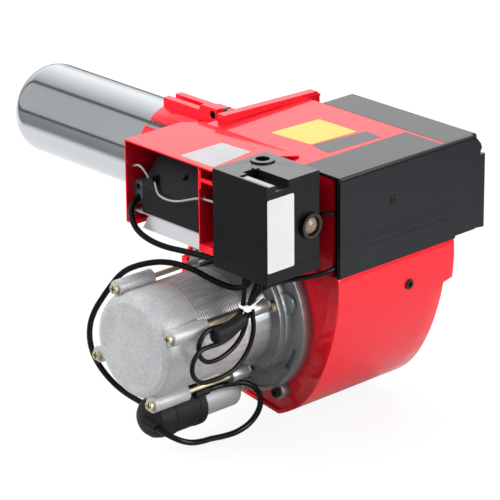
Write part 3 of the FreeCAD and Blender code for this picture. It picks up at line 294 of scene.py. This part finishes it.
# Fan, coupling and pump: a pressed wheel on the motor's shaft, a nylon coupling, and the oil
# pump on the far side with its copper pipe. The air flap is pressed from the wheel's sheet,
# and the transformer's terminal block is the coupling's nylon.
pressed = Finish("pressed_aluminium", rgb(178, 180, 184), 0.35, Metallic=1.0)
pressed.set(Roughness=0.3 + pressed.noise(200, 3) * 0.15)
dress(["fan_wheel", "air_flap"], pressed)
nylon = Finish("grey_nylon", rgb(58, 60, 64), 0.45)
nylon.set(Roughness=0.4 + nylon.noise(500, 2) * 0.15)
dress(["shaft_coupling", "terminal_block"], nylon)
machined = Finish("machined_aluminium", rgb(168, 170, 172), 0.35, Metallic=0.9)
machined.set(Base_Color=machined.tint(machined.noise(60, 4),
                                      rgb(150, 152, 155), rgb(184, 185, 187)))
dress("oil_pump", machined)
ease(["oil_pump"], 0.001)
copper = Finish("drawn_copper", rgb(196, 120, 84), 0.3, Metallic=1.0)
copper.set(Roughness=0.25 + copper.noise(200, 3) * 0.2)
dress("oil_pipe", copper)

# Rear cover and air box: injection-moulded in charcoal plastic with a fine spark-eroded grain.
# They close the housing's open rear and its far side. One screw in a pillar holds the cover.
def moulded(name, colour_0, colour_1, rough, grain_per_metre, deep, polish=0.0):
    """Moulded plastic or rubber. Faces that lie level are polished by hands and cloths."""
    plastic = Finish(name, colour_1, rough, Specular_IOR_Level=0.2, Coat_Roughness=0.12)
    way = plastic.add("ShaderNodeNewGeometry", out="Normal")
    upward = plastic.add("ShaderNodeSeparateXYZ", None, {"Vector": way}, "Z").rise(0.4, 0.9)
    pores = plastic.noise(grain_per_metre, 3, 0.6)
    plastic.set(Base_Color=plastic.tint(plastic.noise(18, 4), colour_0, colour_1),
                Roughness=rough - 0.08 + pores * 0.16, Coat_Weight=upward * polish)
    plastic.relief(pores, deep, 0.5)
    return plastic


charcoal = moulded("charcoal_plastic", rgb(27, 28, 31), rgb(34, 35, 39), 0.3, 1400, 0.00008,
                   polish=0.6)
dress(["rear_cover", "air_box"], charcoal)
ease(["rear_cover", "air_box"], 0.0009)

# Cowl and transformer: the cowl is folded from red-enamelled sheet steel and screwed to the
# housing. The ignition transformer in it is a block of dark potting on a painted steel base.
sheet_red = red_gloss("enamelled_sheet", rgb(208, 8, 28), rgb(222, 14, 40), 300)
dress(["cowl", "cowl_tie", "cowl_foot"], sheet_red)

potting = moulded("potting_grey", rgb(22, 22, 24), rgb(30, 30, 33), 0.4, 900, 0.0002)
dress("transformer", potting)
white_plate = Finish("white_enamel", rgb(160, 161, 164), 0.35, Coat_Weight=0.5,
                     Coat_Roughness=0.15)
white_plate.set(Roughness=0.3 + white_plate.noise(300, 2) * 0.1)
dress("transformer_base", white_plate)

# Relay: a black plug-in box on its base, with a cable gland in its top and a clear domed reset
# button in a polished ring. The valve's coil, the photocell and the transformer's outlets are
# moulded in the same black.
relay_black = moulded("relay_black", rgb(14, 15, 16), rgb(19, 20, 21), 0.28, 1600, 0.00006,
                      polish=1.0)
dress(["control_box", "control_base", "cable_gland", "ht_sockets", "solenoid_valve",
       "photocell"], relay_black)
ease(["control_box", "control_base"], 0.0008)
ring_black = Finish("polished_black", rgb(12, 12, 13), 0.12, IOR=1.5)
ring_black.set(Roughness=0.1 + ring_black.noise(300, 2) * 0.06)
dress("reset_ring", ring_black)
lens = Finish("clear_lens", rgb(235, 205, 190), 0.06, Transmission_Weight=0.75, IOR=1.49)
lens.set(Base_Color=lens.tint(lens.noise(200, 2), rgb(235, 190, 165), rgb(245, 225, 210)))
dress("reset_button", lens)

# Capacitor: a drawn aluminium can with a grey sleeve shrunk on it. A nut on its stud holds it
# to the flange plate, and a black rubber boot covers its terminals.
drawn = Finish("drawn_can", rgb(190, 190, 192), 0.3, Metallic=1.0)
sleeve_from, sleeve_to, sleeve_edge = -0.1550, -0.0750, 0.0005
sleeve = (drawn.axis("Y").rise(sleeve_from, sleeve_from + sleeve_edge)
          * (1 - drawn.axis("Y").rise(sleeve_to, sleeve_to + sleeve_edge)))
drawn.set(Base_Color=drawn.tint(sleeve, rgb(190, 190, 192), rgb(168, 169, 171)),
          Metallic=1 - sleeve * 0.7,
          Roughness=0.25 + drawn.noise(80, 3, 0.5, (1, 12, 1)) * 0.15)
dress("capacitor_can", drawn)
rubber = moulded("black_rubber", rgb(20, 20, 21), rgb(30, 30, 31), 0.55, 700, 0.0001)
dress("capacitor_boot", rubber)

# Labels: blank vinyl patches on the top plate, the cowl and the relay, all stuck down flat with
# their corners rounded. A pale strip laid the same way on the ledge of the relay's channel is a
# painted highlight along that ledge.
def patch(name, corners_mm, out_way, finish, radius_mm=2.0, thick_mm=0.15, clear_mm=0.02):
    """A flat patch with rounded corners: the outline is a quadratic curve across each corner,
    from one edge to the next, and the surface runs straight from it to the middle in rings."""
    c = np.array(corners_mm, float) / 1000
    ways = [w / np.linalg.norm(w, axis=1)[:, None]
            for w in (np.roll(c, 1, 0) - c, np.roll(c, -1, 0) - c)]
    t = np.linspace(0, 1, 7)[None, :, None]
    reach = radius_mm / 1000
    start, end = c + ways[0] * reach, c + ways[1] * reach
    rim = (1 - t) ** 2 * start[:, None] + 2 * t * (1 - t) * c[:, None] + t ** 2 * end[:, None]
    rim = rim.reshape(-1, 3)
    if np.cross(rim[0] - rim.mean(0), rim[4] - rim.mean(0)) @ out_way < 0:
        rim = rim[::-1]
    lift = np.array(out_way, float) * clear_mm / 1000
    mid, n = rim.mean(0), len(rim)
    rings = np.concatenate([mid + (rim - mid) * r for r in (1.0, 0.75, 0.4)] + [mid[None]]) + lift
    i, j = np.arange(n), np.roll(np.arange(n), -1)
    quads = np.concatenate([np.stack([k + i, k + j, k + n + j, k + n + i], 1) for k in (0, n)])
    fans = np.stack([2 * n + i, 2 * n + j, np.full(n, 3 * n)], 1)
    mesh = bpy.data.meshes.new(name)
    mesh.from_pydata(rings.tolist(), [], quads.tolist() + fans.tolist())
    mesh.materials.append(finish.material)
    piece = bpy.data.objects.new(name, mesh)
    bpy.context.scene.collection.objects.link(piece)
    skin = piece.modifiers.new("thickness", "SOLIDIFY")
    skin.thickness, skin.offset = thick_mm / 1000, 1.0
    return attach(piece, "burner")


def vinyl(name, colour_0, colour_1):
    """Printed film without its print, faintly wavy and clouded between two colours."""
    film = Finish(name, colour_1, 0.3, Coat_Weight=0.4, Coat_Roughness=0.1)
    film.set(Base_Color=film.tint(film.noise(40, 3), colour_0, colour_1),
             Roughness=0.28 + film.noise(250, 2) * 0.12)
    film.relief(film.noise(90, 2, 0.4), 0.00006, 0.4)
    return film


white_vinyl = vinyl("white_vinyl", rgb(198, 199, 201), rgb(212, 212, 213))
yellow_vinyl = vinyl("yellow_vinyl", rgb(180, 158, 32), rgb(192, 172, 46))
paper_vinyl = vinyl("worn_white_vinyl", rgb(138, 135, 137), rgb(168, 165, 167))
grey_vinyl = vinyl("dark_grey_vinyl", rgb(40, 40, 44), rgb(52, 52, 56))
top_z, cowl_z, ledge_z, relay_x = 63.5, 72.0, 73.2, 307.0  # faces that carry them, in mm
patch("yellow_patch", [(166.4, -10, top_z), (222.3, -6.1, top_z), (226.6, 56.4, top_z),
                       (170.5, 55.9, top_z)], (0, 0, 1), yellow_vinyl)
patch("grey_patch", [(224.1, -6.9, top_z), (253.3, -12.3, top_z), (256.6, 62.7, top_z),
                     (232, 63.8, top_z)], (0, 0, 1), grey_vinyl, 1.5)
patch("cowl_patch", [(172.4, -140.5, cowl_z), (222, -140.5, cowl_z), (214, -82, cowl_z),
                     (173, -84, cowl_z)], (0, 0, 1), paper_vinyl)
# A pale strip on the ledge of the relay's channel: painted highlight.
patch("channel_painted_highlight", [(267, -143.6, ledge_z), (306, -143.6, ledge_z), (306, -136, ledge_z),
                        (267, -136, ledge_z)], (0, 0, 1), paper_vinyl, 1.0)
patch("relay_patch", [(relay_x, -146.4, 60), (relay_x, -146.4, -17), (relay_x, -110.3, -17),
                      (relay_x, -110.3, 60)], (1, 0, 0), white_vinyl)

# Cables: round black PVC leads between the relay's base, the motor, the transformer and the
# photocell, and a thin pale silicone lead at the transformer's post. Each is one smooth run
# along its route, from the piece that it leaves to the piece that it enters.
pvc = moulded("black_pvc", rgb(8, 8, 9), rgb(14, 14, 15), 0.26, 500, 0.00006)
silicone = moulded("pale_silicone", rgb(128, 126, 120), rgb(150, 148, 142), 0.35, 500, 0.00004)
routes = {  # the node that each one replaces, its diameter and its points, in mm
    "motor_cable": ("motor_cord", 6.2, [
        (250, -112, -30), (249, -113, -51), (232, -119, -63), (211, -134, -54), (197, -150, -40),
        (182, -171, -31), (167, -191, -33), (150, -201, -43), (137, -208, -62), (115, -215, -97),
        (107, -213, -127), (106, -204, -154), (117, -194, -176), (137, -187, -189),
        (160.5, -186, -191)]),
    "capacitor_cable": ("capacitor_cord", 6.2, [
        (203.99, -206.99, -197.51), (222.64, -202.98, -203.53), (232, -188, -211.5),
        (231, -169, -216), (224, -150, -221), (219, -129, -227), (218, -108, -229),
        (219, -89, -223.5), (222, -78, -208), (221.5, -80, -190), (217, -93, -177),
        (209.5, -109, -176.5), (203, -121, -177.5), (203, -136, -177.5)]),
    "hank_cable": ("hank_cord", 5.0, [
        (281, -130, -30), (280, -130, -45), (271, -133, -56), (265.5, -135.5, -69),
        (265.5, -142, -82), (265, -154, -91), (265, -170, -95.6), (265, -185, -95.2),
        (265, -200, -95), (265, -210.7, -105.7), (265, -210.7, -120.7), (265, -200, -131.3),
        (265, -185, -133), (265, -170, -133), (265, -154, -130), (265, -140, -120),
        (265, -130.5, -107), (265.5, -127, -91), (265.5, -129.5, -75), (265.5, -129, -60),
        (271, -120, -49), (281, -106, -43), (292, -91, -41), (302, -76, -39), (309, -61, -36),
        (309.5, -47, -31), (310, -33, -20), (303, -20, -9), (290, -9, 0), (274, -9, 0)]),
    "loop_cable": ("loop_cord", 5.0, [
        (256, -130, -30), (257, -132, -46), (259.5, -135, -59), (259.5, -138, -73),
        (258.5, -151, -81), (258, -168, -81), (258, -185.2, -80.5), (258, -195.5, -90.8),
        (258, -195.5, -105.3), (258, -185.2, -115.5), (258, -170, -116.5), (258, -155, -113),
        (259, -142, -104), (259.5, -133.5, -91), (259.5, -130, -75), (260.5, -126, -60),
        (262, -119, -46), (263, -116, -30)]),
    "feed_cable": ("feed_cord", 6.2, [
        (103.5, -129, 9), (103.5, -142, 8.5), (107, -152, 0), (116, -158, -10), (129, -160, -18),
        (145, -157, -24), (162, -152, -27), (179, -147, -27), (196, -144.5, -26.5),
        (212, -144, -25), (229, -144, -24)]),
    "cell_cable": ("cell_cord", 4.4, [
        (290, -75, 25), (296, -67, 25), (306, -61, 24.5), (309.5, -50, 22), (309, -41, 11),
        (303, -35, 0), (294, -36, -10), (282, -38, -14)]),
    "post_lead_left": ("post_lead", 2.4, [
        (96.5, -139, 41), (103, -139.5, 44.5), (111, -140, 44.5), (117, -139.5, 40),
        (121.8, -138.8, 34)]),
    "post_lead_right": ("post_lead", 2.4, [
        (130.2, -138.8, 32), (135, -141, 28), (143, -146, 24), (158, -148, 22.5), (175, -148, 25),
        (190, -147, 30.5), (202, -144.5, 35), (214, -143, 36.5), (229, -143, 36.5)]),
}


def lay_cable(name, points_mm, wide_mm, finish):
    """A cable as one smooth NURBS line that its route's points guide, as thick as their radius
    says."""
    curve = bpy.data.curves.new(name, "CURVE")
    curve.dimensions, curve.resolution_u = "3D", 12
    curve.bevel_depth, curve.bevel_resolution, curve.use_fill_caps = 1.0, 6, True
    line = curve.splines.new("NURBS")
    line.points.add(len(points_mm) - 1)
    for point, place in zip(line.points, points_mm):
        point.co, point.radius = (*(v / 1000 for v in place), 1.0), wide_mm / 2000
    line.order_u, line.use_endpoint_u = 3, True
    curve.materials.append(finish.material)
    cable = bpy.data.objects.new(name, curve)
    bpy.context.scene.collection.objects.link(cable)
    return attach(cable, "burner")


def line_length(cable):
    """Length of a cable's centre line, from the spline's own points without its bevel."""
    depth, cable.data.bevel_depth = cable.data.bevel_depth, 0.0
    mesh = bpy.data.meshes.new_from_object(cable)
    cable.data.bevel_depth = depth
    dots = np.array([v.co for v in mesh.vertices])
    bpy.data.meshes.remove(mesh)
    return float(np.linalg.norm(np.diff(dots, axis=0), axis=1).sum())


for name, (node, wide, points) in routes.items():
    pale = node == "post_lead"
    cable = lay_cable(name, points, wide, silicone if pale else pvc)
    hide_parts(node)
    line_length(cable)

# Sheath: a flat sleeve of soft black rubber, slipped over the two upper strands of the bundle
# and pinched in at both of its ends.
def sheath_points(along=28, around=40, half_wide=0.0074, half_high=0.0062, swell=0.0028):
    """Rings along a cubic curve of four points. Each ring is a rounded oval, the cosine and sine
    raised to 0.8 with their signs kept, that grows along the curve and draws in at both ends."""
    s = np.linspace(0, 1, along)[:, None, None]
    turn = np.linspace(0, 2 * np.pi, around, endpoint=False)
    knots = np.array([(262.5, -138, -77), (262, -147, -84), (261.6, -162, -87.5),
                      (261.4, -178, -88)]) / 1000
    weights = [(1 - s) ** 3, 3 * s * (1 - s) ** 2, 3 * s ** 2 * (1 - s), s ** 3]
    line = sum(w * k for w, k in zip(weights, knots))
    run = np.gradient(line[:, 0], axis=0)
    run /= np.linalg.norm(run, axis=1)[:, None]
    side = np.array([1.0, 0, 0])
    lift = np.cross(run, side)[:, None]
    c, d = (np.sign(f) * np.abs(f) ** 0.8 for f in (np.cos(turn), np.sin(turn)))
    ends = np.clip(np.sin(np.pi * s) * 5, 0, 1) ** 0.35
    wide, high = half_wide * (0.8 + 0.2 * ends), (half_high + swell * s) * (0.75 + 0.25 * ends)
    return line + side * wide * c[None, :, None] + lift * high * d[None, :, None]


rings = sheath_points()
along, around = rings.shape[:2]
i, j = np.meshgrid(np.arange(along - 1), np.arange(around), indexing="ij")
right = (j + 1) % around
walls = np.stack([i * around + j, i * around + right,
                  (i + 1) * around + right, (i + 1) * around + j], -1)
ends = [list(range(around))[::-1], list(range((along - 1) * around, along * around))]
skin = bpy.data.meshes.new("cable_sheath")
skin.from_pydata(rings.reshape(-1, 3).tolist(), [], walls.reshape(-1, 4).tolist() + ends)
skin.materials.append(rubber.material)
skin.shade_smooth()
sheath = bpy.data.objects.new("cable_sheath", skin)
bpy.context.scene.collection.objects.link(sheath)
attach(sheath, "burner")

# Cable tie: a strip of white nylon, drawn tight round the bundle under the relay's base and
# cut off short.
tie_white = Finish("white_nylon_tie", rgb(232, 232, 228), 0.4, Subsurface_Weight=0.1)
tie_white.set(Roughness=0.35 + tie_white.noise(400, 2) * 0.1)
dress("cord_tie", tie_white)

# Floor: the camera sees it white, with the object's shadow on it. What the metal mirrors is a
# grey table under the object and a darker floor beyond the table's two edges.
floor = bpy.data.objects.new("floor", bpy.data.meshes.new("floor"))
reach, floor_z = 6.0, cad_box[0][2] - 0.0005
floor.data.from_pydata([(x * reach, y * reach, floor_z) for x, y in
                        ((-1, -1), (1, -1), (1, 1), (-1, 1))], [], [(0, 1, 2, 3)])
bpy.context.scene.collection.objects.link(floor)
floor_paint = Finish("pale_floor", (0.8, 0.8, 0.8), 0.9, Specular_IOR_Level=0.0)
across = floor_paint.axis("Y")
table = across.rise(-0.36, -0.24) * (1 - across.rise(0.55, 0.8))
floor_paint.set(Base_Color=floor_paint.tint(table, (0.13, 0.13, 0.13), (0.5, 0.5, 0.5)))
seen = floor_paint.add("ShaderNodeLightPath", out="Is Camera Ray")
shade = floor_paint.add("ShaderNodeBsdfDiffuse", None, {"Color": (0.85, 0.85, 0.85)})
white = floor_paint.add("ShaderNodeEmission", None, {"Color": (1, 1, 1), "Strength": 1.0})
near_white = floor_paint.add("ShaderNodeMixShader", None, {0: 0.88, 1: shade, 2: white})
both = floor_paint.add("ShaderNodeMixShader", None, {
    0: seen, 1: Wire(floor_paint.tree, floor_paint.shader.outputs[0]), 2: near_white})
floor_paint.tree.links.new(both.socket, floor_paint.tree.nodes["Material Output"].inputs["Surface"])
floor.data.materials.append(floor_paint.material)

# Sky: even and white to the camera, half as strong to matt surfaces. Gloss and metal mirror a
# sky that brightens towards the back, has one narrow dark band and is dimmer low down there.
world = bpy.data.worlds.new("studio")
bpy.context.scene.world = world
world.use_nodes = True
sky = world.node_tree
toward = add_node(sky, "ShaderNodeTexCoord", out="Generated")
back, up = (add_node(sky, "ShaderNodeSeparateXYZ", None, {"Vector": toward}, letter)
            for letter in "YZ")
camera_ray, gloss_ray = (add_node(sky, "ShaderNodeLightPath", out=f"Is {kind} Ray")
                         for kind in ("Camera", "Glossy"))
dark_band = 1 - (back + up * 0.28).math("ABSOLUTE").rise(0.03, 0.07)
low_back = (1 - up.rise(0.0, 0.3)) * back.rise(-0.1, 0.4)
mirrored = (0.6 + back.rise(-0.1, 0.55) * 0.75) * (1 - dark_band * 0.85) * (1 - low_back * 0.55)
strength = camera_ray + (1 - camera_ray) * (gloss_ray * mirrored + (1 - gloss_ray) * 0.5)
join(sky, sky.nodes["Background"].inputs["Color"], (1, 1, 1))
join(sky, sky.nodes["Background"].inputs["Strength"], strength)


# Lights: three soft boxes, above the back, at the left front and at the right rear. The first
# two light matt surfaces alone, because metal would mirror them as hard patches.
def softbox(name, place, aim, size, watts, mirrored=True):
    """A rectangular lamp at a place, turned to what it lights."""
    data = bpy.data.lights.new(name, "AREA")
    data.shape, data.size, data.size_y, data.energy = "RECTANGLE", size[0], size[1], watts
    light = bpy.data.objects.new(name, data)
    light.location = place
    light.rotation_euler = (Vector(aim) - Vector(place)).to_track_quat("-Z", "Y").to_euler()
    light.visible_glossy = mirrored
    bpy.context.scene.collection.objects.link(light)


middle = (0.12, -0.03, -0.06)
softbox("top_back", (-0.8, 1.1, 1.7), middle, (2.4, 1.6), 56, False)
softbox("left_front", (-0.9, -1.9, 1.0), middle, (1.6, 1.6), 90, False)
softbox("right_rear", (2.3, 0.5, 0.7), middle, (1.4, 1.6), 49)

# Camera: at the photograph's angle and distance, found by fitting corners and edges of the
# solids to the picture. Its focal length is counted in pixels of the square picture.
camera = bpy.data.objects.new("camera", bpy.data.cameras.new("camera"))
sensor_mm, focal_pixels, picture_pixels = 36.0, 3056.4, 500
camera.data.sensor_width = sensor_mm
camera.data.lens = sensor_mm * focal_pixels / picture_pixels
camera.data.clip_end = 50
stand = Matrix.Translation((2.3586, -2.0534, 1.0969))
turn, lift, roll = (math.radians(a) for a in (47.444, 21.221, -0.534))
camera.matrix_world = (stand @ Matrix.Rotation(turn, 4, "Z")
                       @ Matrix.Rotation(math.pi / 2 - lift, 4, "X")
                       @ Matrix.Rotation(roll, 4, "Z"))
bpy.context.scene.collection.objects.link(camera)
bpy.context.scene.camera = camera
bpy.context.scene.view_settings.view_transform = "Standard"
